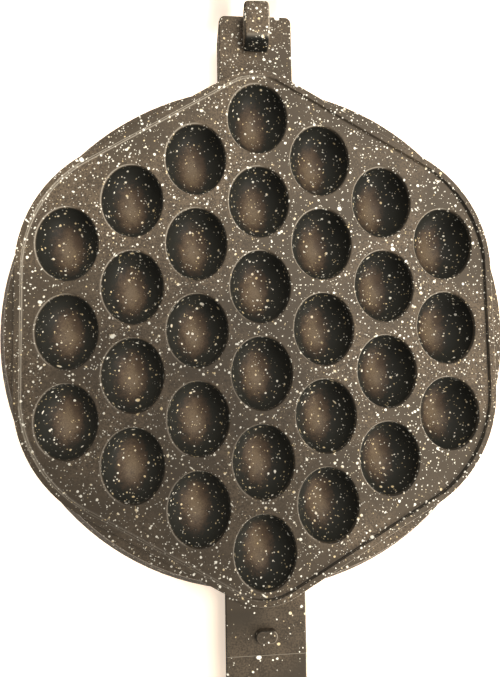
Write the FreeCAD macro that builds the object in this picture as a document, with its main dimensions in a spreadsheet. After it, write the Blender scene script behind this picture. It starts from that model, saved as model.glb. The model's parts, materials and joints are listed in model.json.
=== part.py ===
import FreeCAD, Part
import Sketcher
import os
import re

# Egg waffle pan: two cast halves with thirty egg-shaped cups each, a lift-apart
# hook hinge, two handles and a wire bail that locks the handles together.
#
# Each half is drawn in its own mould frame: the origin is the middle of the cup
# field, z = 0 is the plane where the closed halves meet, +Y points to the hinge
# and the cups open upwards. In the part's own frame both halves lie open on the
# table, unhooked, with the origin on the table midway between them.

V = FreeCAD.Vector
document = FreeCAD.newDocument("EggWafflePan")
sheet = document.addObject("Spreadsheet::Sheet", "sizes")

sizes = {
    # between the closed halves, and from a half's domes to the table
    "face_gap": 0.15,
    "foot_room": 4.15,
    "overrun": 30.0,
    # the cups
    "pitch_across": 25.0,
    "pitch_along": 34.3,
    "cup_across": 11.9,
    "cup_along": 14.4,
    "cup_depth": 12.2,
    "cup_wall": 2.3,
    "mouth_round": 0.8,
    # the six-sided tray and its rim
    "tray_margin": 7.4,
    "rim_width": 2.6,
    "rim_height": 1.2,
    "rim_round": 0.5,
    "tip_round": 22.0,
    "side_round": 52.5,
    "floor_thickness": 3.0,
    # the fire ring under the tray
    "ring_inset": 0.5,
    "shoulder_slope": 6.5,
    "shoulder_drop": 2.6,
    "band_height": 5.0,
    "ring_wall": 3.5,
    # the tabs cast on both ends, their places measured from the tray's tip
    "hinge_tab_width": 29.8,
    "handle_tab_width": 31.0,
    "tab_drop": 3.2,
    "tab_thickness": 8.5,
    "tab_draft": 0.9,
    "tab_toe": 4.6,
    "tab_round": 2.4,
    "tab_edge_round": 0.7,
    "hinge_tab_length": 25.1,
    "handle_tab_length": 35.5,
    "slope_start": 18.7,
    "slope_drop": 1.6,
    "slope_step": 0.5,
    "stud_start": 11.2,
    "stud_width": 8.3,
    "stud_length": 4.8,
    "stud_height": 2.4,
    "stud_round": 0.6,
    # the hook of the lower half and the fork of the upper half
    "hook_width": 10.2,
    "hook_setback": 9.3,
    "hook_top": 6.2,
    "hook_cover": 1.4,
    "hook_round": 3.5,
    "hook_tip_round": 1.8,
    "hook_side_round": 1.2,
    "hook_fit": 0.1,
    "fork_gap": 0.5,
    "fork_end_gap": 0.3,
    "fork_root_gap": 0.3,
    "ear_radius": 2.1,
    "ear_web": 6.0,
    "pin_inset": 1.9,
    "pin_radius": 1.25,
    "pin_fit": 0.05,
    "pin_end": 1.6,
    "groove_radius": 0.9,
    "clip_radius": 2.0,
    "clip_thickness": 0.6,
    "clip_gap": 0.3,
    "clip_fit": 0.02,
    "unhook_travel": 9.3,
    # the tang that carries each grip
    "tang_width": 16.0,
    "tang_thickness": 6.0,
    "tang_length": 85.0,
    "tang_fit": 0.3,
    # the heat collar in front of each grip
    "collar_lap": 3.0,
    "collar_length": 12.0,
    "collar_wall": 1.0,
    "collar_fit": 0.3,
    "collar_top": 3.0,
    "collar_depth": 10.6,
    "collar_round": 2.0,
    # the grips, their places measured from the collar's end
    "grip_width": 31.2,
    "grip_drop": 2.0,
    "grip_depth": 15.0,
    "grip_belly": 1.6,
    "grip_nose_depth": 12.5,
    "grip_length": 152.0,
    "swell_start": 28.0,
    "swell_end": 72.0,
    "flat_start": 90.0,
    "grip_round": 7.0,
    "grip_edge_round": 1.6,
    "grip_tail_round": 12.0,
    "hang_radius": 4.5,
    "hang_inset": 13.0,
    # the screws and inserts that hold each grip on its tang
    "screw_front": 16.0,
    "screw_rear": 62.0,
    "screw_radius": 2.4,
    "screw_fit": 0.25,
    "screw_end_gap": 0.5,
    "head_radius": 4.6,
    "head_height": 2.4,
    "head_sink": 0.3,
    "drive_width": 1.2,
    "drive_depth": 1.1,
    "insert_radius": 4.0,
    "insert_length": 4.6,
    "insert_fit": 0.02,
    # the wire bail that locks the grips together
    "wire_radius": 1.5,
    "wire_bend": 4.0,
    "bail_inset": 50.0,
    "bail_pivot_drop": 9.5,
    "foot_bend": 2.0,
    "bail_slack": 0.3,
    "bail_rest_gap": 0.15,
    "bail_foot": 5.0,
    "bush_radius": 2.8,
    "bush_fit": 0.05,
    "bush_seat_fit": 0.02,
    "bush_length": 6.0,
}

cups_in_column = [3, 4, 5, 6, 5, 4, 3]
columns_aside = (len(cups_in_column) - 1) // 2
dome_latitude = -6  # degrees below the mouth's plane where each dome starts


def fill_sheet():
    for row, (name, value) in enumerate(sizes.items(), 1):
        sheet.set("A%d" % row, name)
        sheet.set("B%d" % row, str(value))
        sheet.setAlias("B%d" % row, name)
    document.recompute()


def formula(text):
    # a size's plain name becomes its cell in the sheet
    def cell(match):
        word = match.group()
        return "sizes." + word if word in sizes else word
    return re.sub(r"[a-z_]+", cell, text)


def amount(text):
    return float(sheet.evalExpression(formula(text)))


def bind(item, **values):
    for name, text in values.items():
        item.setExpression(name, formula(text))
    return item


def place(item, x="0", y="0", z="0", turn=None):
    if turn:
        item.Placement = FreeCAD.Placement(V(), FreeCAD.Rotation(V(*turn[0]), turn[1]))
    for axis, text in (("x", x), ("y", y), ("z", z)):
        item.setExpression("Placement.Base." + axis, formula(text))
    return item


def primitive(kind, name, **values):
    return bind(document.addObject("Part::" + kind, name), **values)


def block(name, x, y, z):
    # a box between two limits on each axis
    item = primitive("Box", name, Length="(%s) - (%s)" % (x[1], x[0]),
                     Width="(%s) - (%s)" % (y[1], y[0]), Height="(%s) - (%s)" % (z[1], z[0]))
    return place(item, x[0], y[0], z[0])


def fuse(name, *parts):
    item = document.addObject("Part::MultiFuse", name)
    item.Shapes = list(parts)
    return item


def cut(name, base, tool):
    item = document.addObject("Part::Cut", name)
    item.Base = base
    item.Tool = tool
    return item


def group(name, parts):
    item = document.addObject("Part::Compound", name)
    item.Links = list(parts)
    return item


def rounded(name, base, radius, wanted):
    # a fillet of one radius on the edges that the test picks
    document.recompute()
    item = document.addObject("Part::Fillet", name)
    item.Base = base
    size = amount(radius)
    picked = [number for number, edge in enumerate(base.Shape.Edges, 1) if wanted(edge)]
    item.Edges = [(number, size, size) for number in picked]
    return item


def is_upright(edge):
    box = edge.BoundBox
    return box.ZLength > box.XLength + box.YLength


def is_level_at(edge, height):
    box = edge.BoundBox
    small = amount("pin_fit") / 2
    return abs(box.ZMin - height) < small and abs(box.ZMax - height) < small


def hexagon(name, inset, top, bottom):
    # a six-sided slab with points towards the tabs, sharper there than at the sides
    prism = primitive("Prism", name + "_prism", Circumradius="(%s - %s) / cos(30)" % (tray_flat, inset),
                      Height="(%s) - (%s)" % (top, bottom))
    prism.Polygon = 6
    place(prism, z=bottom, turn=((0, 0, 1), 30))
    document.recompute()
    tip = amount("tip_round - %s" % inset)
    side = amount("side_round - %s" % inset)
    item = document.addObject("Part::Fillet", name)
    item.Base = prism
    edges = []
    for number, edge in enumerate(prism.Shape.Edges, 1):
        if is_upright(edge):
            at_tip = abs(edge.CenterOfMass.x) < abs(edge.CenterOfMass.y) / 2
            size = tip if at_tip else side
            edges.append((number, size, size))
    item.Edges = edges
    return item


def ellipsoids(name, across, along, depth, top_angle):
    # one egg-shaped bowl at each cup's place, as far up as the given latitude
    bowls = []
    for column, count in enumerate(cups_in_column):
        for row in range(count):
            bowl = primitive("Ellipsoid", "%s_%d_%d" % (name, column, row),
                             Radius1=depth, Radius2=across, Radius3=along)
            bowl.Angle2 = top_angle
            place(bowl, "pitch_across * %d" % (column - columns_aside),
                  "pitch_along * %d / 2" % (2 * row - count + 1),
                  "-face_gap - rim_height")
            bowls.append(bowl)
    return bowls


def profile(body, plane, points):
    # a closed outline of straight lines, each corner placed by its own two sizes
    sketch = body.newObject("Sketcher::SketchObject", body.Name + "_" + plane[:2] + "_outline")
    origin_planes = [item for item in body.Origin.OriginFeatures if item.Role == plane]
    sketch.AttachmentSupport = (origin_planes[0], [""])
    sketch.MapMode = "FlatFace"
    corners = [V(amount(x), amount(y), 0) for x, y in points]
    for start, end in zip(corners, corners[1:] + corners[:1]):
        sketch.addGeometry(Part.LineSegment(start, end))
    count = len(points)
    for line in range(count):
        sketch.addConstraint(Sketcher.Constraint("Coincident", line, 2, (line + 1) % count, 1))
    for line, (x, y) in enumerate(points):
        for kind, text in (("DistanceX", x), ("DistanceY", y)):
            index = sketch.addConstraint(Sketcher.Constraint(kind, -1, 1, line, 1, amount(text)))
            sketch.setExpression("Constraints[%d]" % index, formula(text))
    return sketch


def new_body(name):
    return document.addObject("PartDesign::Body", name)


def pad(body, sketch, length):
    # a pad of the outline, half to each side of its plane
    item = body.newObject("PartDesign::Pad", body.Name + "_pad")
    item.Profile = sketch
    item.SideType = "Symmetric"
    bind(item, Length=length)
    sketch.Visibility = False
    document.recompute()
    return item


def turned(body, points):
    # a solid turned about the body's Z axis from an outline in its XZ plane
    sketch = profile(body, "XZ_Plane", points)
    item = body.newObject("PartDesign::Revolution", body.Name + "_turned")
    item.Profile = sketch
    item.ReferenceAxis = (sketch, ["V_Axis"])
    item.Angle = 360
    document.recompute()
    return item


def soften(body, radius, wanted):
    # a fillet on the picked edges of the body's newest feature
    document.recompute()
    base = body.Tip
    names = ["Edge%d" % number for number, edge in enumerate(base.Shape.Edges, 1) if wanted(edge)]
    item = body.newObject("PartDesign::Fillet", base.Name + "_fillet")
    item.Base = (base, names)
    bind(item, Radius=radius)
    document.recompute()
    return item


fill_sheet()

# heights and reaches in the mould frame that several pieces share
half_height = "(face_gap + rim_height + cup_depth + cup_wall + foot_room)"
tray_flat = "(pitch_across * %d + cup_across + tray_margin)" % columns_aside
tray_tip = "((%s - tip_round) / cos(30) + tip_round)" % tray_flat
ring_radius = "(%s - ring_inset)" % tray_tip
rim_top = "-face_gap"
floor_top = "-face_gap - rim_height"
floor_bottom = "-face_gap - rim_height - floor_thickness"
tab_top = "-tab_drop"
tab_bottom = "-tab_drop - tab_thickness"
hinge_tab_reach = "(%s + hinge_tab_length)" % tray_tip
hook_start = "(%s + hook_setback)" % tray_tip
pin_reach = "(%s - pin_inset)" % hinge_tab_reach
fork_reach = "(%s - pin_inset - fork_end_gap)" % pin_reach
fork_root = "(%s - unhook_travel - fork_root_gap)" % hook_start
handle_tab_reach = "(%s + handle_tab_length)" % tray_tip
tang_reach = "(%s + tang_length)" % handle_tab_reach
collar_start = "(%s - collar_lap)" % handle_tab_reach
grip_front = "(%s + collar_length)" % collar_start
grip_reach = "(%s + grip_length)" % grip_front
screw_reaches = ["(%s + screw_front)" % grip_front, "(%s + screw_rear)" % grip_front]
bail_reach_out = "(%s - bail_inset)" % grip_reach
slope_top = "-tab_drop - slope_drop"
tang_top = "-tab_drop - slope_drop"
tang_bottom = "-tab_drop - slope_drop - tang_thickness"
table = "-" + half_height
band_top = table + " + band_height"
spread = "(%s + unhook_travel / 2)" % pin_reach


def cup_field():
    # tray, fire ring and bowls as one shell, with the cup mouths rounded
    slab = hexagon("tray", "0", rim_top, floor_bottom)
    shoulder = primitive("Cone", "shoulder", Radius1=ring_radius,
                         Radius2=ring_radius + " - shoulder_slope",
                         Height=half_height + " - band_height - shoulder_drop")
    place(shoulder, z=band_top)
    band = primitive("Cylinder", "band", Radius=ring_radius, Height="band_height")
    place(band, z=table)
    outside = fuse("outside", slab, shoulder, band)
    hollow_cone = primitive("Cone", "hollow_cone", Radius1=ring_radius + " - ring_wall",
                            Radius2=ring_radius + " - shoulder_slope - ring_wall",
                            Height="%s - (%s)" % (floor_bottom, band_top))
    place(hollow_cone, z=band_top)
    hollow_band = primitive("Cylinder", "hollow_band", Radius=ring_radius + " - ring_wall",
                            Height="band_height + overrun")
    place(hollow_band, z=table + " - overrun")
    shell = cut("shell", outside, fuse("hollow", hollow_cone, hollow_band))
    recess = hexagon("recess", "rim_width", "overrun", floor_top)
    open_tray = cut("open_tray", shell, recess)
    tray = rounded("tray_rim", open_tray, "rim_round",
                   lambda edge: is_level_at(edge, amount(rim_top)))
    domes = ellipsoids("dome", "cup_across + cup_wall", "cup_along + cup_wall",
                       "cup_depth + cup_wall", dome_latitude)
    cups = ellipsoids("cup", "cup_across", "cup_along", "cup_depth", 90)
    cupped = cut("cupped", fuse("domed", tray, *domes), group("cups", cups))
    longest = amount("8 * cup_along")

    def mouth_edge(edge):
        return is_level_at(edge, amount(floor_top)) and edge.Length < longest

    return rounded("field", cupped, "mouth_round", mouth_edge)


def side_profile(name, points, width):
    # a solid of one side view, as wide as given
    body = new_body(name)
    pad(body, profile(body, "YZ_Plane", points), width)
    return body


def tab_edge(edge):
    box = edge.BoundBox
    return box.ZMax < amount(tab_top) + amount("pin_fit") and not is_upright(edge) \
        and box.ZMin > amount("-tab_drop - slope_drop - pin_fit")


def clear_of_bowl(name, tab, sign):
    # the tab's root stops inside the wall of the end bowl
    bowl = primitive("Ellipsoid", name + "_bowl", Radius1="cup_depth + cup_wall / 2",
                     Radius2="cup_across + cup_wall / 2", Radius3="cup_along + cup_wall / 2")
    rows = max(cups_in_column) - 1
    place(bowl, y=sign + "pitch_along * %d / 2" % rows, z=floor_top)
    return cut(name, tab, bowl)


def handle_tab():
    # a flat pad with a stud, a short slope, then the tang that the grip slides over
    tab = side_profile("handle_tab", [
        ("-" + tray_flat, tab_top), ("-" + tray_flat, tab_bottom),
        ("-" + handle_tab_reach, tab_bottom), ("-" + handle_tab_reach, slope_top),
        ("-%s - slope_start - slope_step" % tray_tip, tab_top + " - slope_step"),
        ("-%s - slope_start" % tray_tip, tab_top)], "handle_tab_width")
    soften(tab, "tab_edge_round", tab_edge)
    tang = block("tang", ("-tang_width / 2", "tang_width / 2"),
                 ("-" + tang_reach, "-%s + tab_thickness" % handle_tab_reach),
                 (tang_bottom, tang_top))
    stud_block = block("stud_block", ("-stud_width / 2", "stud_width / 2"),
                       ("-%s - stud_start - stud_length / 2" % tray_tip,
                        "-%s - stud_start + stud_length / 2" % tray_tip),
                       ("-tab_drop - stud_height", "-tab_drop + stud_height"))
    stud_plan = rounded("stud_plan", stud_block, "stud_length / 2 - stud_round / 4", is_upright)
    stud = rounded("stud", stud_plan, "stud_round",
                   lambda edge: is_level_at(edge, amount("-tab_drop + stud_height")))
    holes = []
    for reach in screw_reaches:
        hole = primitive("Cylinder", "tang_hole", Radius="screw_radius + screw_fit",
                         Height="2 * overrun")
        holes.append(place(hole, y="-" + reach, z="-overrun"))
        sink = primitive("Cone", "tang_sink", Radius1="screw_radius + screw_fit",
                         Radius2="head_radius + screw_fit", Height="head_height + head_sink")
        holes.append(place(sink, y="-" + reach, z=tang_top + " - head_height - head_sink"))
    drilled = cut("drilled_tang", tang, fuse("tang_holes", *holes))
    root = clear_of_bowl("handle_root", tab, "-")
    return fuse("handle_end", root, drilled, stud)


def hinge_tab(name, reach):
    # the pad at the hinge end: its sides flare and its end recedes downwards
    half = "hinge_tab_width / 2"
    plain = primitive("Wedge", name + "_wedge",
                      Xmin="-%s - tab_draft" % half, Xmax=half + " + tab_draft",
                      X2min="-" + half, X2max=half, Ymin=tab_bottom, Ymax=tab_top,
                      Zmin="tab_toe - " + reach, Z2min="-" + reach,
                      Zmax="-" + tray_flat, Z2max="-" + tray_flat)
    place(plain, turn=((1, 0, 0), 90))
    end = amount(reach + " - pin_fit")
    corners = rounded(name + "_corners", plain, "tab_round",
                      lambda edge: is_upright(edge) and edge.BoundBox.YMax > end)
    edged = rounded(name + "_edged", corners, "tab_edge_round",
                    lambda edge: is_level_at(edge, amount(tab_top)))
    return clear_of_bowl(name, edged, "")


def hook():
    # a post with a finger that reaches over the pin, notched for it from the front
    tip = pin_reach + " + hook_cover"
    body = new_body("hook_post")
    notch_low = "-pin_radius - hook_fit"
    pad(body, profile(body, "YZ_Plane", [
        (hook_start, "-tab_drop - tab_round"), (hook_start, "hook_top"),
        (tip, "hook_top"), (tip, notch_low + " / 2"),
        (hinge_tab_reach + " - tab_round", notch_low),
        (hinge_tab_reach + " - tab_round", "-tab_drop - tab_round")]), "hook_width")
    top = amount("hook_top")
    near = amount(hook_start)
    far = amount(tip)
    half = amount("hook_width / 2")

    def nose_edge(edge):
        box = edge.BoundBox
        return abs(box.ZMin - top) < half / 100 and box.XLength > half and box.YMax < near + half / 100

    def tip_edge(edge):
        return is_upright(edge) and edge.BoundBox.YMin > far - half / 100

    def flank_edge(edge):
        middle = edge.CenterOfMass
        long_enough = max(edge.BoundBox.YLength, edge.BoundBox.ZLength) > half
        return abs(abs(middle.x) - half) < half / 100 and long_enough and (
            middle.z > top - half / 4 or middle.y < near + half / 4) and middle.y < far - half / 4

    soften(body, "hook_round", nose_edge)
    soften(body, "hook_tip_round", tip_edge)
    soften(body, "hook_side_round", flank_edge)
    bore = primitive("Cylinder", "notch_bore", Radius="pin_radius + hook_fit",
                     Height="hinge_tab_width")
    place(bore, x="-hinge_tab_width / 2", y=pin_reach, turn=((0, 1, 0), 90))
    mouth = block("notch_mouth", ("-hinge_tab_width / 2", "hinge_tab_width / 2"),
                  (pin_reach, pin_reach + " + overrun"),
                  ("-pin_radius - hook_fit", "pin_radius + hook_fit"))
    return cut("hook", body, fuse("notch", bore, mouth))


def fork(tab):
    # the upper half's tab with a slot for the hook and an ear on each prong for the pin
    ears = []
    inner = "(hook_width / 2 + fork_gap)"
    width = "(hinge_tab_width / 2 - %s)" % inner
    root = fork_reach + " - ear_web"
    sunk = "-tab_drop - tab_edge_round"
    for side, sign in (("left", "-"), ("right", "")):
        middle = "%s(%s + %s / 2)" % (sign, inner, width)
        lug = side_profile(side + "_lug", [
            (pin_reach, "ear_radius"), (root, "-tab_drop"), (root, sunk),
            (fork_reach, sunk), (fork_reach, "-ear_radius"), (pin_reach, "-ear_radius")], width)
        ears.append(place(lug, x=middle))
        ear = primitive("Cylinder", side + "_ear", Radius="ear_radius", Height=width)
        ears.append(place(ear, x="%s - %s / 2" % (middle, width), y=pin_reach,
                          turn=((0, 1, 0), 90)))
    solid = fuse("eared_tab", tab, *ears)
    slot = block("fork_slot", ("-" + inner, inner), (fork_root, pin_reach + " + overrun"),
                 (tab_bottom + " - fork_gap", "overrun"))
    bore = primitive("Cylinder", "ear_bore", Radius="pin_radius + pin_fit",
                     Height="hinge_tab_width + 2 * overrun")
    place(bore, x="-hinge_tab_width / 2 - overrun", y=pin_reach, turn=((0, 1, 0), 90))
    return solid, fuse("fork_cut", slot, bore)


def castings():
    field = cup_field()
    handle_end = handle_tab()
    lower = fuse("lower_casting", field, handle_end, hinge_tab("hook_tab", hinge_tab_reach), hook())
    eared, gap = fork(hinge_tab("fork_tab", fork_reach))
    upper_solid = fuse("upper_solid", field, handle_end, eared)
    upper = cut("upper_casting", upper_solid, gap)
    return lower, upper


def collar(name):
    # a thin steel sleeve over the joint between the tab and the grip
    body = new_body(name)
    wall = "collar_wall"
    outer = "handle_tab_width / 2 + collar_fit + " + wall
    start = "-" + collar_start
    end = "-" + grip_front
    top = "-collar_top"
    bottom = "-collar_top - collar_depth"
    pad(body, profile(body, "YZ_Plane", [(start, top), (start, bottom), (end, bottom), (end, top)]),
        "2 * (%s)" % outer)
    half = amount(outer)
    soften(body, "collar_round",
           lambda edge: edge.BoundBox.YLength > amount("collar_length / 2")
           and abs(abs(edge.CenterOfMass.x) - half) < half / 100)
    sketch = profile(body, "XZ_Plane", [
        ("-handle_tab_width / 2 - collar_fit", top + " - " + wall),
        ("handle_tab_width / 2 + collar_fit", top + " - " + wall),
        ("handle_tab_width / 2 + collar_fit", bottom + " + " + wall),
        ("-handle_tab_width / 2 - collar_fit", bottom + " + " + wall)])
    window = body.newObject("PartDesign::Pocket", name + "_window")
    window.Profile = sketch
    window.Type = "ThroughAll"
    window.SideType = "Symmetric"
    sketch.Visibility = False
    return body


def grip(name, bail_holes):
    # a moulded grip with a flat face towards the other half and a swollen back
    body = new_body(name)
    shoulder = "-" + grip_front
    face = "-grip_drop"
    back = "-grip_drop - grip_depth"
    pad(body, profile(body, "YZ_Plane", [
        (shoulder, face), (shoulder, "-grip_drop - grip_nose_depth"),
        (shoulder + " - swell_start", "-grip_drop - grip_depth - grip_belly / 2"),
        (shoulder + " - swell_end", "-grip_drop - grip_depth - grip_belly / 2"),
        (shoulder + " - flat_start", back), ("-" + grip_reach, back),
        ("-" + grip_reach, face)]), "grip_width")
    half = amount("grip_width / 2")
    tail = amount("-" + grip_reach)
    face_height = amount(face)
    mid = amount("-grip_drop - grip_depth / 2")
    soften(body, "grip_tail_round",
           lambda edge: is_upright(edge) and abs(edge.CenterOfMass.y - tail) < half / 100)

    def back_edge(edge):
        box = edge.BoundBox
        middle = edge.CenterOfMass
        at_flank = abs(abs(middle.x) - half) < half / 100 and box.YLength > half / 2
        at_tail = box.ZLength < half / 100 and middle.y < tail + 2 * half
        return middle.z < mid and (at_flank or at_tail) and not is_upright(edge)

    def face_edge(edge):
        return is_level_at(edge, face_height)

    soften(body, "grip_round", back_edge)
    soften(body, "grip_edge_round", face_edge)
    neck = block(name + "_neck", ("-handle_tab_width / 2", "handle_tab_width / 2"),
                 (shoulder, "-%s - collar_fit" % handle_tab_reach),
                 ("-collar_top - collar_depth + collar_wall + collar_fit",
                  "-collar_top - collar_wall - collar_fit"))
    solid = fuse(name + "_solid", body, neck)
    slot = block(name + "_slot",
                 ("-tang_width / 2 - tang_fit", "tang_width / 2 + tang_fit"),
                 ("-%s - tang_fit" % tang_reach, "-%s + overrun" % handle_tab_reach),
                 (tang_bottom + " - tang_fit", "overrun"))
    hang = primitive("Cylinder", name + "_hang", Radius="hang_radius", Height="2 * overrun")
    place(hang, y="-%s + hang_inset" % grip_reach, z="-overrun")
    tools = [slot, hang]
    for reach in screw_reaches:
        seat = primitive("Cylinder", name + "_seat", Radius="insert_radius + insert_fit",
                         Height="insert_length + tang_thickness")
        tools.append(place(seat, y="-" + reach, z=tang_bottom + " - tang_fit - insert_length"))
    if bail_holes:
        for start in ("-grip_width / 2 - overrun", "grip_width / 2 - bush_length"):
            seat = primitive("Cylinder", name + "_bush_seat",
                             Radius="bush_radius + bush_seat_fit", Height="bush_length + overrun")
            tools.append(place(seat, x=start, y="-" + bail_reach_out, z="-bail_pivot_drop",
                               turn=((0, 1, 0), 90)))
    return cut(name, solid, fuse(name + "_cuts", *tools))


def screws(name):
    # two countersunk screws, each with a straight driver slot
    items = []
    tip = "screw_end_gap + head_sink / 2 - tang_thickness - tang_fit - insert_length"
    for reach in screw_reaches:
        body = new_body(name + "_body")
        turned(body, [
            ("0", "0"), ("head_radius", "0"), ("screw_radius", "-head_height"),
            ("screw_radius", tip), ("0", tip)])
        slot = block(body.Name + "_drive", ("-overrun", "overrun"),
                     ("-drive_width / 2", "drive_width / 2"), ("-drive_depth", "overrun"))
        screw = cut(body.Name + "_screw", body, slot)
        items.append(place(screw, y="-" + reach, z=tang_top + " - head_sink / 2"))
    return group(name, items)


def inserts(name):
    # two threaded bushes moulded into the grip under the tang
    items = []
    for reach in screw_reaches:
        outside = primitive("Cylinder", name + "_outside", Radius="insert_radius",
                            Height="insert_length")
        inside = primitive("Cylinder", name + "_inside", Radius="screw_radius + insert_fit",
                           Height="2 * overrun")
        place(inside, z="-overrun")
        bush = cut(name + "_bush", outside, inside)
        items.append(place(bush, y="-" + reach, z=tang_bottom + " - tang_fit - insert_length"))
    return group(name, items)


def hinge_pin():
    # a plain pin with a groove near each end
    body = new_body("hinge_pin")
    ear = "hinge_tab_width / 2 + clip_gap"
    far = ear + " + clip_thickness"
    end = far + " + pin_end"
    points = [("0", end), ("pin_radius", end)]
    for sign, order in (("", (far, ear)), ("-", (ear, far))):
        first, second = order
        points += [("pin_radius", sign + "(" + first + ")"), ("groove_radius", sign + "(" + first + ")"),
                   ("groove_radius", sign + "(" + second + ")"), ("pin_radius", sign + "(" + second + ")")]
    points += [("pin_radius", "-(%s)" % end), ("0", "-(%s)" % end)]
    turned(body, points)
    return body


def pin_clips():
    # a retaining ring in each groove
    rings = []
    for side, start in (("left", "-hinge_tab_width / 2 - clip_gap - clip_thickness"),
                        ("right", "hinge_tab_width / 2 + clip_gap")):
        outside = primitive("Cylinder", side + "_clip_outside", Radius="clip_radius",
                            Height="clip_thickness")
        inside = primitive("Cylinder", side + "_clip_inside", Radius="groove_radius + clip_fit",
                           Height="clip_thickness + 2 * overrun")
        place(inside, z="-overrun")
        ring = cut(side + "_clip", outside, inside)
        rings.append(place(ring, z=start))
    return group("hinge_pin_clips", rings)


# the bail's crossbar clears the other grip's back when it stands up
bail_reach = "bail_pivot_drop + grip_drop + grip_depth + bail_slack + wire_radius"
bail_rise = "bail_pivot_drop - grip_drop + bail_rest_gap + wire_radius"
bail_side = "grip_width / 2 + foot_bend"


def bail():
    # a wire stirrup: two feet in the grip's bushes, two arms and a crossbar, lying along -Y
    pieces = []
    wire = "wire_radius"
    for side, sign, start, near_turn, far_turn in (
            ("left", "-", "-grip_width / 2", 90, 180),
            ("right", "", "grip_width / 2 - bail_foot", 0, 270)):
        arm = primitive("Cylinder", side + "_arm", Radius=wire,
                        Height="(%s) - wire_bend - foot_bend" % bail_reach)
        place(arm, x=sign + "(%s)" % bail_side, y="-foot_bend", turn=((1, 0, 0), 90))
        foot = primitive("Cylinder", side + "_foot", Radius=wire, Height="bail_foot")
        place(foot, x=start, turn=((0, 1, 0), 90))
        near = primitive("Torus", side + "_near_bend", Radius1="foot_bend", Radius2=wire)
        place(near, x=sign + "grip_width / 2", y="-foot_bend", turn=((0, 0, 1), near_turn))
        far = primitive("Torus", side + "_far_bend", Radius1="wire_bend", Radius2=wire)
        place(far, x=sign + "((%s) - wire_bend)" % bail_side,
              y="wire_bend - (%s)" % bail_reach, turn=((0, 0, 1), far_turn))
        near.Angle3 = 90
        far.Angle3 = 90
        pieces += [arm, foot, near, far]
    bar = primitive("Cylinder", "crossbar", Radius=wire, Height="2 * ((%s) - wire_bend)" % bail_side)
    place(bar, x="wire_bend - (%s)" % bail_side, y="-(%s)" % bail_reach, turn=((0, 1, 0), 90))
    pieces.append(bar)
    return fuse("lock_bail", *pieces)


def bail_bushes():
    # a brass bush in each side of the lower grip for the bail's feet
    items = []
    for side, start in (("left", "-grip_width / 2"), ("right", "grip_width / 2 - bush_length")):
        outside = primitive("Cylinder", side + "_bush_outside", Radius="bush_radius",
                            Height="bush_length")
        inside = primitive("Cylinder", side + "_bush_inside", Radius="wire_radius + bush_fit",
                           Height="2 * overrun")
        place(inside, z="-overrun")
        bush = cut(side + "_bush", outside, inside)
        items.append(place(bush, x=start, turn=((0, 1, 0), 90)))
    return group("bail_bushes", items)


def set_down(item, half):
    # from the mould frame to the table: the lower half at -Y, the upper half turned about Z
    if half == "lower":
        place(item, y="-" + spread, z=half_height)
    else:
        place(item, y=spread, z=half_height, turn=((0, 0, 1), 180))
    return item


def assemble():
    lower, upper = castings()
    nodes = {"lower_casting": set_down(lower, "lower"), "upper_casting": set_down(upper, "upper")}
    for half in ("lower", "upper"):
        nodes[half + "_collar"] = set_down(collar(half + "_collar"), half)
        nodes[half + "_grip"] = set_down(grip(half + "_grip", half == "lower"), half)
        nodes[half + "_grip_screws"] = set_down(screws(half + "_grip_screws"), half)
        nodes[half + "_grip_inserts"] = set_down(inserts(half + "_grip_inserts"), half)
    pin = hinge_pin()
    clips = pin_clips()
    for item in (pin, clips):
        place(item, y="unhook_travel / 2", z=half_height, turn=((0, 1, 0), 90))
    nodes["hinge_pin"] = pin
    nodes["hinge_pin_clips"] = clips
    wire = bail()
    lean = -amount("asin((%s) / (%s))" % (bail_rise, bail_reach))
    pivot_y = "-%s - %s" % (spread, bail_reach_out)
    pivot_z = half_height + " - bail_pivot_drop"
    place(wire, y=pivot_y, z=pivot_z, turn=((1, 0, 0), lean))
    nodes["lock_bail"] = wire
    bushes = bail_bushes()
    place(bushes, y=pivot_y, z=pivot_z)
    nodes["bail_bushes"] = bushes
    return nodes


def write(nodes):
    document.recompute()
    for item in document.Objects:
        if "Invalid" in item.State or "Error" in item.State:
            raise RuntimeError("%s failed: %s" % (item.Name, item.State))
    os.makedirs("parts", exist_ok=True)
    for name, item in nodes.items():
        item.Label = name
        shape = item.Shape
        if shape.isNull() or not shape.isValid():
            raise RuntimeError("%s has no valid shape" % name)
        shape.exportStep("parts/%s.step" % name)
        box = shape.BoundBox
        print("%-20s %2d solid  %9.1f mm3  y %7.1f to %7.1f  z %5.1f to %5.1f" % (
            name, len(shape.Solids), shape.Volume, box.YMin, box.YMax, box.ZMin, box.ZMax))


write(assemble())
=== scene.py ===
import json
import math
import bpy
import bmesh
from mathutils import Matrix, Vector

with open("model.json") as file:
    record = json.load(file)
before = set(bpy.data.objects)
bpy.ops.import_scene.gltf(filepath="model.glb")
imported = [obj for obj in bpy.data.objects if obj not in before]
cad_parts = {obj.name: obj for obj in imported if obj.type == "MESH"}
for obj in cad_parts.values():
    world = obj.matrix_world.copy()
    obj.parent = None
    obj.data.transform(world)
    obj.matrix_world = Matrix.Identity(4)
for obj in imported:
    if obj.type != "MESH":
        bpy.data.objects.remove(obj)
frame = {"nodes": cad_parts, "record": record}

scene = bpy.context.scene
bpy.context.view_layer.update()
print("frame loaded:", ", ".join(sorted(frame["nodes"])))

perMeter = 1000  # the patterns are laid out in millimetres


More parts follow.
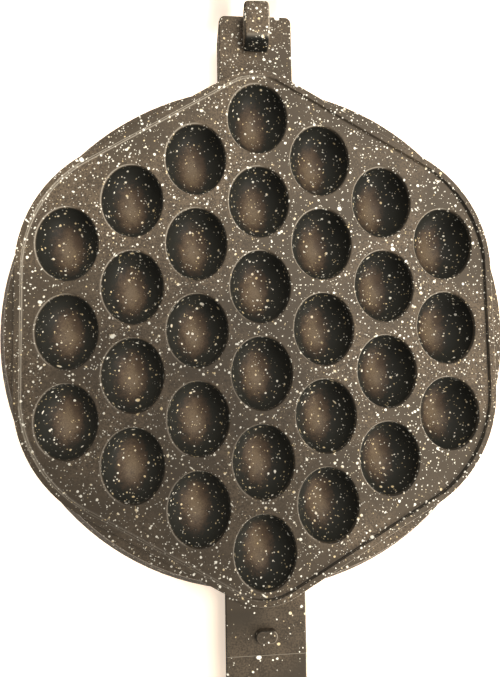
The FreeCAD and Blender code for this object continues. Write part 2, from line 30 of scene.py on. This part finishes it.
# one socket of a shader, so that sums are written as sums
class Wire:
    def __init__(self, shader, socket):
        self.shader = shader
        self.socket = socket

    def sum(self, operation, *values):
        return self.shader.node("ShaderNodeMath", {"operation": operation}, dict(enumerate(values)))

    def __add__(self, other):
        return self.sum("ADD", self, other)

    def __sub__(self, other):
        return self.sum("SUBTRACT", self, other)

    def __rsub__(self, other):
        return self.sum("SUBTRACT", other, self)

    def __mul__(self, other):
        return self.sum("MULTIPLY", self, other)

    def __pow__(self, other):
        return self.sum("POWER", self, other)

    def __abs__(self):
        return self.sum("ABSOLUTE", self)

    def bigger(self, other):
        return self.sum("MAXIMUM", self, other)

    # 0 below the low value, 1 above the high one, smooth between them
    def ramp(self, low, high):
        return self.shader.node("ShaderNodeMapRange", {"interpolation_type": "SMOOTHSTEP"},
                                {"Value": self, "From Min": low, "From Max": high})

    __radd__ = __add__
    __rmul__ = __mul__


class Shader:
    # the nodes of a new material, or of a world that is given
    def __init__(self, name, world=None):
        self.owner = world or bpy.data.materials.new(name)
        self.owner.use_nodes = True
        self.tree = self.owner.node_tree
        self.tree.nodes.clear()
        self.end = self.tree.nodes.new("ShaderNodeOutputWorld" if world else "ShaderNodeOutputMaterial")

    # any node: its settings first, then what goes into its sockets, by name or number
    def node(self, kind, settings=None, inputs=None, output=None):
        made = self.tree.nodes.new(kind)
        for key, value in (settings or {}).items():
            setattr(made, key, value)
        for key, value in (inputs or {}).items():
            if isinstance(key, int):
                socket = made.inputs[key]
            else:
                socket = next(s for s in made.inputs if s.name == key and s.enabled)
            if isinstance(value, Wire):
                self.tree.links.new(value.socket, socket)
            elif isinstance(value, tuple) and socket.type == "RGBA":
                socket.default_value = (*value, 1)
            else:
                socket.default_value = value
        if output:
            return Wire(self, made.outputs[output])
        return Wire(self, next(s for s in made.outputs if s.enabled))

    def place(self):
        # object coordinates in millimetres
        meters = self.node("ShaderNodeTexCoord", output="Object")
        return self.scaled(meters, (perMeter, perMeter, perMeter))

    # how far the surface faces right, back and up in the object's own frame
    def facing(self):
        return self.parts(self.node("ShaderNodeTexCoord", output="Normal"))

    def parts(self, vector):
        split = self.node("ShaderNodeSeparateXYZ", {}, {"Vector": vector})
        return [Wire(self, socket) for socket in split.socket.node.outputs]

    def scaled(self, vector, factors):
        return self.node("ShaderNodeVectorMath", {"operation": "MULTIPLY"}, {0: vector, 1: factors})

    def moved(self, vector, offset):
        return self.node("ShaderNodeVectorMath", {"operation": "ADD"}, {0: vector, 1: offset})

    def turned(self, vector, angles):
        return self.node("ShaderNodeMapping", {}, {"Vector": vector, "Rotation": angles})

    # noise about 0.5, with its grain's size in millimetres
    def noise(self, place, grain, detail=2.0, rough=0.5):
        return self.node("ShaderNodeTexNoise", {"noise_dimensions": "3D"},
                         {"Vector": place, "Scale": 1 / grain, "Detail": detail, "Roughness": rough})

    def shifted(self, place, grain, by):
        # the place, shifted unevenly, so that edges of a pattern aren't clean
        wobble = self.node("ShaderNodeTexNoise", {"noise_dimensions": "3D"},
                           {"Vector": place, "Scale": 1 / grain, "Detail": 1.0}, "Color")
        centred = self.moved(wobble, (-0.5, -0.5, -0.5))
        return self.moved(place, self.scaled(centred, (by, by, by)))

    def blend(self, factor, first, second):
        return self.node("ShaderNodeMix", {"data_type": "RGBA"},
                         {"Factor": factor, "A": first, "B": second})

    def bump(self, height, depth):
        # height in shares of the depth, depth in metres
        return self.node("ShaderNodeBump", {}, {"Height": height, "Distance": depth, "Strength": 1.0})

    def seen(self):
        # 1 for what the camera sees, also in a mirror or through glass
        kinds = [self.node("ShaderNodeLightPath", output="Is %s Ray" % kind)
                 for kind in ("Camera", "Glossy", "Transmission")]
        return kinds[0].bigger(kinds[1]).bigger(kinds[2])

    def surface(self, **sockets):
        names = {name.replace("_", " "): value for name, value in sockets.items()}
        shell = self.node("ShaderNodeBsdfPrincipled", {}, names)
        self.tree.links.new(shell.socket, self.end.inputs["Surface"])
        return self.owner


# the two cup fields in millimetres: their floor, how far they reach towards each of the six sides,
# where the tray ends, and how far the middles are from y = 0
field = {"floor": 18.65, "reach": 92.0, "end": 103.0,
         "middle": -perMeter * frame["record"]["mounts"][0]["pos_m"][1]}

# the speckled coating: a brown-grey ground, with painted shade, nearly black, on the cups' steep walls and
# a painted highlight on their beds
coat = {
    "ground": (0.046, 0.035, 0.024),
    "groundWarm": (0.112, 0.084, 0.056),
    "groundCool": (0.054, 0.042, 0.029),
    # painted highlight on the cups' beds, darkening to painted shade up their walls
    "bed": (0.118, 0.085, 0.052),
    "bedDark": (0.044, 0.029, 0.019),
    "wall": (0.016, 0.0158, 0.0128),
    "skirt": (0.047, 0.036, 0.026),
    # painted highlight on rounded edges that face the light
    "edge": (0.24, 0.21, 0.165),
    # the painted shade's colour, also used to darken the handle's tab
    "deep": (0.012, 0.012, 0.010),
    # colour of the painted shade patch on the tray
    "patchShade": (0.008, 0.006, 0.004),
    "fleck": (0.80, 0.76, 0.65),
    "fleckWarm": (0.62, 0.49, 0.28),
    "roughness": 0.44,
    "roughFine": 0.16,
    "roughFleck": 0.1,
    "roughSkirt": 0.2,
    "gloss": 0.10,
    "peelDepth": 0.00003,
    "peelCoarse": 0.6,
    "peelFine": 0.25,
    "peelFleck": 0.35,
}
# the grain of each noise in millimetres
grains = {"cloud": 34.0, "mottle": 6.0, "tint": 3.1, "blotch": 2.4, "peel": 1.1, "ragged": 0.9,
          "fine": 0.7, "stipple": 0.55, "bed": 0.45}

# each kind of fleck: spacing in mm, smallest and largest radius in mm, stretch, turn, strength,
# and the share that is missing on the tray, in the cups and beyond the tray's handle end
fleckKinds = [
    {"spacing": 1.05, "radii": (0.10, 0.34), "stretch": 1.0, "turn": 0.3, "strength": 0.8,
     "missing": (0.06, 0.50, 0.90)},
    {"spacing": 2.1, "radii": (0.18, 0.60), "stretch": 1.0, "turn": 1.1, "strength": 1.0,
     "missing": (0.08, 0.36, 0.55)},
    {"spacing": 6.4, "radii": (0.30, 0.95), "stretch": 1.2, "turn": 2.0, "strength": 1.0,
     "missing": (0.05, 0.60, 0.10)},
    {"spacing": 3.4, "radii": (0.14, 0.38), "stretch": 2.6, "turn": 0.7, "strength": 1.0,
     "missing": (0.05, 0.40, 0.15)},
    {"spacing": 4.4, "radii": (0.14, 0.40), "stretch": 3.4, "turn": 2.3, "strength": 1.0,
     "missing": (0.05, 0.60, 0.05)},
]
# for all of them: how patchily they are strewn, how far their edges waver in mm, how much weaker (a
# painted shade) and warmer they are in the cups, and where their edges, their choice and their tint change
strewn = {"patchy": 0.9, "waver": 0.45, "weaker": 0.25, "warmer": 0.09,
          "edge": (-0.02, 0.03), "chosen": (0, 0.02), "warm": (0.50, 0.68)}


def flecks(shader, place, kind, cup, beyondEnd, mottle):
    # one layer of flecks, some of them left out; more are missing in the cups and on the handle's tab
    squeezed = shader.scaled(shader.turned(place, (0, 0, kind["turn"])), (1, 1 / kind["stretch"], 1))
    settings = {"feature": "F1", "voronoi_dimensions": "3D"}
    inputs = {"Vector": squeezed, "Scale": 1 / kind["spacing"], "Randomness": 1.0}
    distance = shader.node("ShaderNodeTexVoronoi", settings, inputs, "Distance")
    chances = shader.node("ShaderNodeTexVoronoi", settings, inputs, "Color")
    size = shader.node("ShaderNodeSeparateColor", {}, {"Color": chances}, "Red")
    chance = shader.node("ShaderNodeSeparateColor", {}, {"Color": chances}, "Green")
    low, high = (radius / kind["spacing"] for radius in kind["radii"])
    tray, inCup, beyond = kind["missing"]
    patches = (mottle - 0.5) * strewn["patchy"]
    missing = cup * (inCup - tray) + beyondEnd * (beyond - tray) + tray + patches
    radius = size * size * (high - low) + low
    inside = (radius - distance).ramp(*strewn["edge"])
    return inside * (chance - missing).ramp(*strewn["chosen"]) * kind["strength"]


# a cup's inner face: where it starts under the tray's floor in mm, and how far it may lean over;
# then the painted light on its bed: the slopes where its painted highlight (the light patch) and its
# painted dark reflection (the notch) lie, how narrow the patch is, how blotchy both are, where they and
# the painted shade up the walls start and end, and how strong the notch and the grain are
cupLook = {
    "start": (0.5, 1.7), "lean": (-0.15, 0.0),
    "patchAt": (0.15, 0.04), "notchAt": (-0.15, -0.24), "narrow": 1.5,
    "patchBlotch": 0.55, "notchBlotch": 0.3, "stipple": 0.5,
    "patch": (0.02, 0.64), "notch": (0.10, 0.36), "wall": (0.38, 0.80),
    "notchDepth": 0.7, "bedGrain": (0.36, 0.64), "grainDepth": 0.6, "grainBase": 0.65,
}


def insideCup(shader, x, aside, z):
    # 1 on a cup's inner face, 0 on the tray, the rim and everything outside
    sloped = abs(x) * 0.5 + abs(aside) * math.sqrt(0.75)  # towards the four sides that lie at 60 degrees
    within = (field["reach"] - sloped.bigger(abs(x))).ramp(0, 1)
    deep = (field["floor"] - z).ramp(*cupLook["start"])
    return deep * within * shader.facing()[2].ramp(*cupLook["lean"])


def paintedCupShading(shader, place):
    # painted highlight: light brown on the bed, a little to one side, blotchy and grainy, with a painted
    # dark reflection in it; painted shade: nearly black up the walls
    right, back, up = shader.facing()
    grain = shader.noise(place, grains["bed"]).ramp(*cupLook["bedGrain"])
    stipple = shader.noise(place, grains["stipple"], 1.0) * cupLook["stipple"]
    blotch = shader.noise(place, grains["blotch"], 4.0, 0.7) + stipple - (1 + cupLook["stipple"]) / 2
    x = right - cupLook["patchAt"][0]
    y = back - cupLook["patchAt"][1]
    fromPatch = (x * x * cupLook["narrow"] + y * y) ** 0.5 + blotch * cupLook["patchBlotch"]
    x = right - cupLook["notchAt"][0]
    y = back - cupLook["notchAt"][1]
    fromNotch = (x * x + y * y) ** 0.5 + blotch * cupLook["notchBlotch"]
    color = shader.blend(fromPatch.ramp(*cupLook["wall"]), coat["bedDark"], coat["wall"])
    depth = cupLook["notchDepth"]
    notched = fromNotch.ramp(*cupLook["notch"]) * depth + (1 - depth)
    light = (1 - fromPatch.ramp(*cupLook["patch"])) * notched
    return shader.blend(light * (grain * cupLook["grainDepth"] + cupLook["grainBase"]), color, coat["bed"])


# the casting outside its cups, each pair from nothing to full: the skirt in mm under the tray's floor,
# the tray's handle end and the tab beyond it, the skirt's side with painted shade, the tabs' flanks,
# rounded edges with painted highlight and shade by how far they face up and then sideways, the face under
# the hook with painted shade, and the ground's colours
castLook = {
    "skirt": (2.6, 3.8), "pastEnd": (0, 3), "handleHalf": (-20, 20), "handleTab": (2, 6),
    "shadedSide": (60, 130), "tabFlank": (14, 22), "tabEdge": (16, 18),
    "roundFrom": (0.25, 0.5), "roundTo": (0.75, 0.95), "edgeLit": (-0.05, 0.3), "edgeDark": (-0.35, -0.05),
    "hookFace": (-0.9, -0.4), "hookPlace": (-109, -107),
    "warm": (0.65, 1.25), "warmMottle": 0.5, "warmFine": 1.4, "cool": (0.4, 0.65),
}
# how strong the painted shade on the skirt and beside the tab, the darkening of the handle's tab, and the
# painted edge highlight and edge shade are, and which way the lit edges face: right and back
shades = {"skirt": 0.45, "skirtBeside": 0.3, "handleTab": 0.32, "lit": 0.9, "dark": 0.8,
          "litRight": 0.95, "litBack": 0.35}
# a painted shade on the tray, darker left of its middle towards the handle: its place from the tray's
# middle and its squared size, in mm
paintedShadePatch = {"x": -40, "aside": 45, "size": (300, 9000), "waver": 2000, "strength": 0.6}


def groundColor(shader, mottle, cloud, fine, low):
    warm = (mottle * castLook["warmMottle"] + fine * castLook["warmFine"]).ramp(*castLook["warm"])
    ground = shader.blend(warm, coat["ground"], coat["groundWarm"])
    ground = shader.blend(cloud.ramp(*castLook["cool"]), ground, coat["groundCool"])
    return shader.blend(low, ground, coat["skirt"])


def shadedSkirtDarkerTab(shader, ground, x, aside, low):
    # painted shade on the skirt's far side, weaker near the tab; and the handle's tab made darker
    beside = abs(x).ramp(*castLook["tabFlank"]) * shades["skirtBeside"] + shades["skirt"]
    shaded = low * (aside - x).ramp(*castLook["shadedSide"]) * beside
    handleTab = (aside - field["end"]).ramp(*castLook["handleTab"]) * shades["handleTab"]
    return shader.blend(shaded.bigger(handleTab), ground, coat["deep"])


def paintedEdgeShading(shader, ground, x, aside, low, cup):
    # painted highlight on rounded edges facing the light, painted shade on those facing away, and painted
    # shade on the face under the hook
    right, back, up = shader.facing()
    rounded = up.ramp(*castLook["roundFrom"]) * (1 - up.ramp(*castLook["roundTo"]))
    rounded = rounded * (1 - cup) * (1 - low * abs(x).ramp(*castLook["tabEdge"]))
    sideways = right * shades["litRight"] - back * shades["litBack"]
    lit = rounded * sideways.ramp(*castLook["edgeLit"]) * shades["lit"]
    dark = rounded * (1 - sideways.ramp(*castLook["edgeDark"])) * shades["dark"]
    ground = shader.blend(lit, ground, coat["edge"])
    ground = shader.blend(dark, ground, coat["deep"])
    underHook = (1 - back.ramp(*castLook["hookFace"])) * (1 - aside.ramp(*castLook["hookPlace"]))
    return shader.blend(underHook, ground, coat["deep"])


def makeCoating():
    shader = Shader("speckled coating")
    place = shader.place()
    x, y, z = shader.parts(place)
    aside = abs(y) - field["middle"]
    away = (x * x + aside * aside) ** 0.5
    cup = insideCup(shader, x, aside, z)
    beyondEnd = (away - field["end"]).ramp(*castLook["pastEnd"]) * aside.ramp(*castLook["handleHalf"])
    low = (field["floor"] - z).ramp(*castLook["skirt"]) * (1 - cup)
    mottle = shader.noise(place, grains["mottle"], 3.0)
    cloud = shader.noise(place, grains["cloud"])
    fine = shader.noise(place, grains["fine"])

    ground = groundColor(shader, mottle, cloud, fine, low)
    # painted shade on the skirt's far side; the handle's tab darker
    ground = shadedSkirtDarkerTab(shader, ground, x, aside, low)
    # painted highlight and shade on rounded edges, painted shade under the hook
    ground = paintedEdgeShading(shader, ground, x, aside, low, cup)
    # painted highlight and painted shade inside the cups
    ground = shader.blend(cup, ground, paintedCupShading(shader, place))

    ragged = shader.shifted(place, grains["ragged"], strewn["waver"])
    layers = [flecks(shader, ragged, kind, cup, beyondEnd, mottle) for kind in fleckKinds]
    marks = layers[0]
    for layer in layers[1:]:
        marks = marks.bigger(layer)
    # flecks weaker in the cups: a painted shade
    marks = marks * (1 - cup * strewn["weaker"])
    warm = (shader.noise(place, grains["tint"], 1.0) + cup * strewn["warmer"]).ramp(*strewn["warm"])
    color = shader.blend(marks, ground, shader.blend(warm, coat["fleck"], coat["fleckWarm"]))

    # painted shade: a darker patch on the tray, left of its middle towards the handle
    across = x - paintedShadePatch["x"]
    along = aside - paintedShadePatch["aside"]
    waver = (mottle - 0.5) * paintedShadePatch["waver"]
    patchShade = 1 - (across * across + along * along + waver).ramp(*paintedShadePatch["size"])
    color = shader.blend(patchShade * (1 - cup) * paintedShadePatch["strength"], color, coat["patchShade"])

    rough = fine * coat["roughFine"] + coat["roughness"]
    rough = rough + marks * coat["roughFleck"] + low * coat["roughSkirt"]
    peel = shader.noise(place, grains["peel"]) * coat["peelCoarse"]
    peel = peel + fine * coat["peelFine"] + marks * coat["peelFleck"]
    return shader.surface(
        Base_Color=color,
        Roughness=rough,
        Specular_IOR_Level=coat["gloss"],
        Normal=shader.bump(peel, coat["peelDepth"]))


# black moulded phenolic of the grips, greyer where it is worn
phenolic = {"color": (0.014, 0.014, 0.015), "worn": (0.035, 0.034, 0.033), "wear": (0.4, 0.75),
            "wearGrain": 14.0, "roughness": 0.32, "wornRoughness": 0.2, "grain": 0.35, "depth": 0.00002}


def makePhenolic():
    shader = Shader("black phenolic")
    place = shader.place()
    wear = shader.noise(place, phenolic["wearGrain"], 4.0)
    grain = shader.noise(place, phenolic["grain"])
    return shader.surface(
        Base_Color=shader.blend(wear.ramp(*phenolic["wear"]), phenolic["color"], phenolic["worn"]),
        Roughness=wear * phenolic["wornRoughness"] + phenolic["roughness"],
        Normal=shader.bump(grain, phenolic["depth"]))


# the metals: colour, roughness, and the way the fine lines run
metals = {
    "collar_steel": {"color": (0.60, 0.59, 0.57), "roughness": 0.30, "lines": (0.05, 2.0, 2.0)},
    "bail_wire": {"color": (0.66, 0.65, 0.63), "roughness": 0.20, "lines": (2.0, 0.15, 0.15)},
    "pin_steel": {"color": (0.58, 0.58, 0.58), "roughness": 0.24, "lines": (0.1, 2.0, 2.0)},
    "screw_steel": {"color": (0.56, 0.56, 0.57), "roughness": 0.28, "lines": (1.0, 1.0, 1.0)},
    "clip_steel": {"color": (0.10, 0.10, 0.105), "roughness": 0.40, "lines": (1.0, 1.0, 1.0)},
    "insert_brass": {"color": (0.72, 0.50, 0.22), "roughness": 0.32, "lines": (1.0, 1.0, 1.0)},
    "bush_brass": {"color": (0.72, 0.50, 0.22), "roughness": 0.26, "lines": (0.2, 2.0, 2.0)},
}
# what they share: the grain and depth of the lines, and the dull clouds over them
metalWear = {"lineGrain": 0.25, "lineRoughness": 0.18, "lineDepth": 0.000008,
             "cloudGrain": 5.0, "cloudRoughness": 0.10, "dull": 0.72, "clouds": (0.35, 0.8)}


def makeMetal(name, look):
    shader = Shader(name.replace("_", " "))
    place = shader.place()
    lines = shader.noise(shader.scaled(place, look["lines"]), metalWear["lineGrain"], 3.0)
    cloud = shader.noise(place, metalWear["cloudGrain"], 3.0)
    dull = tuple(metalWear["dull"] * part for part in look["color"])
    uneven = (lines - 0.5) * metalWear["lineRoughness"] + (cloud - 0.5) * metalWear["cloudRoughness"]
    return shader.surface(
        Base_Color=shader.blend(cloud.ramp(*metalWear["clouds"]), look["color"], dull),
        Metallic=1.0,
        Roughness=uneven + look["roughness"],
        Normal=shader.bump(lines, metalWear["lineDepth"]))


materials = {"stone_coating": makeCoating(), "grip_phenolic": makePhenolic()}
for name, look in metals.items():
    materials[name] = makeMetal(name, look)
print("materials made:", len(materials))


def dress():
    # each carried-over node gets the material of its slot
    for part in frame["record"]["subparts"]:
        piece = frame["nodes"][part["node"]]
        for slot in piece.material_slots:
            slot.material = materials[part["material_slot"]]


dress()
print("pieces dressed:", len(frame["nodes"]))


# the photograph's camera, fitted to the thirty cups
camera = {
    "place": (-0.018082, -0.016036 - field["middle"] / perMeter, 0.213705),
    "turn": (3.70, -3.97, -0.86),  # degrees, as a rotation vector
    "lens": 26.59,
    "sensor": 36.0,
    "nearest": 0.01,
}


def makeCamera():
    eye = bpy.data.cameras.new("photoCamera")
    eye.sensor_fit = "AUTO"
    eye.sensor_width = camera["sensor"]
    eye.lens = camera["lens"]
    eye.clip_start = camera["nearest"]
    holder = bpy.data.objects.new("photoCamera", eye)
    turn = Vector(math.radians(angle) for angle in camera["turn"])
    holder.matrix_world = Matrix.Translation(camera["place"]) @ Matrix.Rotation(turn.length, 4, turn)
    scene.collection.objects.link(holder)
    scene.camera = holder


# the world's light, the lamps' colour, and the floor: its colours, its size and how far it lies under
# the part in metres, and its glow, which is stronger far away and beside the trays: painted light that
# washes out the floor's shadow there, so that the shade shows only beside the handles
studio = {
    "world": 0.40,
    "lampColor": (1.0, 0.95, 0.88),
    "floorColor": (0.88, 0.74, 0.60),
    "glowColor": (1.0, 0.85, 0.71),
    "floorReach": 12.0,
    "floorDrop": 0.0003,
    "glow": 0.5,
    "glowMore": 0.5,
    "glowFar": (0.3, 2.5),
    "trayEnd": (88, 104),
    "glowAtTray": 0.6,
}
# each lamp: place, size, power in watts
lamps = {
    "keyLamp": {"place": (0.30, 0.15, 0.92), "size": 0.5, "power": 12.0},
    "sideLamp": {"place": (0.60, -0.58, 0.46), "size": 0.35, "power": 8.5},
    "topLamp": {"place": (0.15, 0.2, 1.6), "size": 1.2, "power": 6.0},
}


def makeLamps():
    for name, look in lamps.items():
        light = bpy.data.lights.new(name, "AREA")
        light.shape = "DISK"
        light.size = look["size"]
        light.energy = look["power"]
        light.color = studio["lampColor"]
        holder = bpy.data.objects.new(name, light)
        place = Vector(look["place"])
        towardsPart = (-place).to_track_quat("-Z", "Y").to_matrix().to_4x4()
        holder.matrix_world = Matrix.Translation(place) @ towardsPart
        scene.collection.objects.link(holder)


def floorMaterial():
    shader = Shader("pale floor")
    x, y, z = shader.parts(shader.node("ShaderNodeTexCoord", output="Object"))
    far = ((x * x + y * y) ** 0.5).ramp(*studio["glowFar"])
    # painted light: extra glow beside the trays washes out their shadow on the floor
    besideTray = 1 - (abs(y) * perMeter - field["middle"]).ramp(*studio["trayEnd"])
    more = far.bigger(besideTray * studio["glowAtTray"]) * studio["glowMore"]
    glowing = shader.seen() * (more + studio["glow"])
    matt = shader.node("ShaderNodeBsdfDiffuse", {}, {"Color": studio["floorColor"]})
    glow = shader.node("ShaderNodeEmission", {}, {"Color": studio["glowColor"], "Strength": glowing})
    both = shader.node("ShaderNodeAddShader", {}, {0: matt, 1: glow})
    shader.tree.links.new(both.socket, shader.end.inputs["Surface"])
    return shader.owner


def makeFloor():
    bm = bmesh.new()
    bmesh.ops.create_grid(bm, x_segments=1, y_segments=1, size=studio["floorReach"])
    bmesh.ops.translate(bm, verts=bm.verts, vec=(0, 0, -studio["floorDrop"]))
    mesh = bpy.data.meshes.new("floor")
    bm.to_mesh(mesh)
    bm.free()
    mesh.materials.append(floorMaterial())
    floor = bpy.data.objects.new("floor", mesh)
    scene.collection.objects.link(floor)


def makeWorld():
    # white where it is seen, plain daylight where it only lights
    world = bpy.data.worlds.new("studio")
    shader = Shader("studio", world)
    strength = shader.seen() * (1 - studio["world"]) + studio["world"]
    sky = shader.node("ShaderNodeBackground", {}, {"Color": (1, 1, 1), "Strength": strength})
    shader.tree.links.new(sky.socket, shader.end.inputs["Surface"])
    scene.world = world


makeCamera()
makeLamps()
makeFloor()
makeWorld()
scene.view_settings.view_transform = "Standard"
print("studio ready")
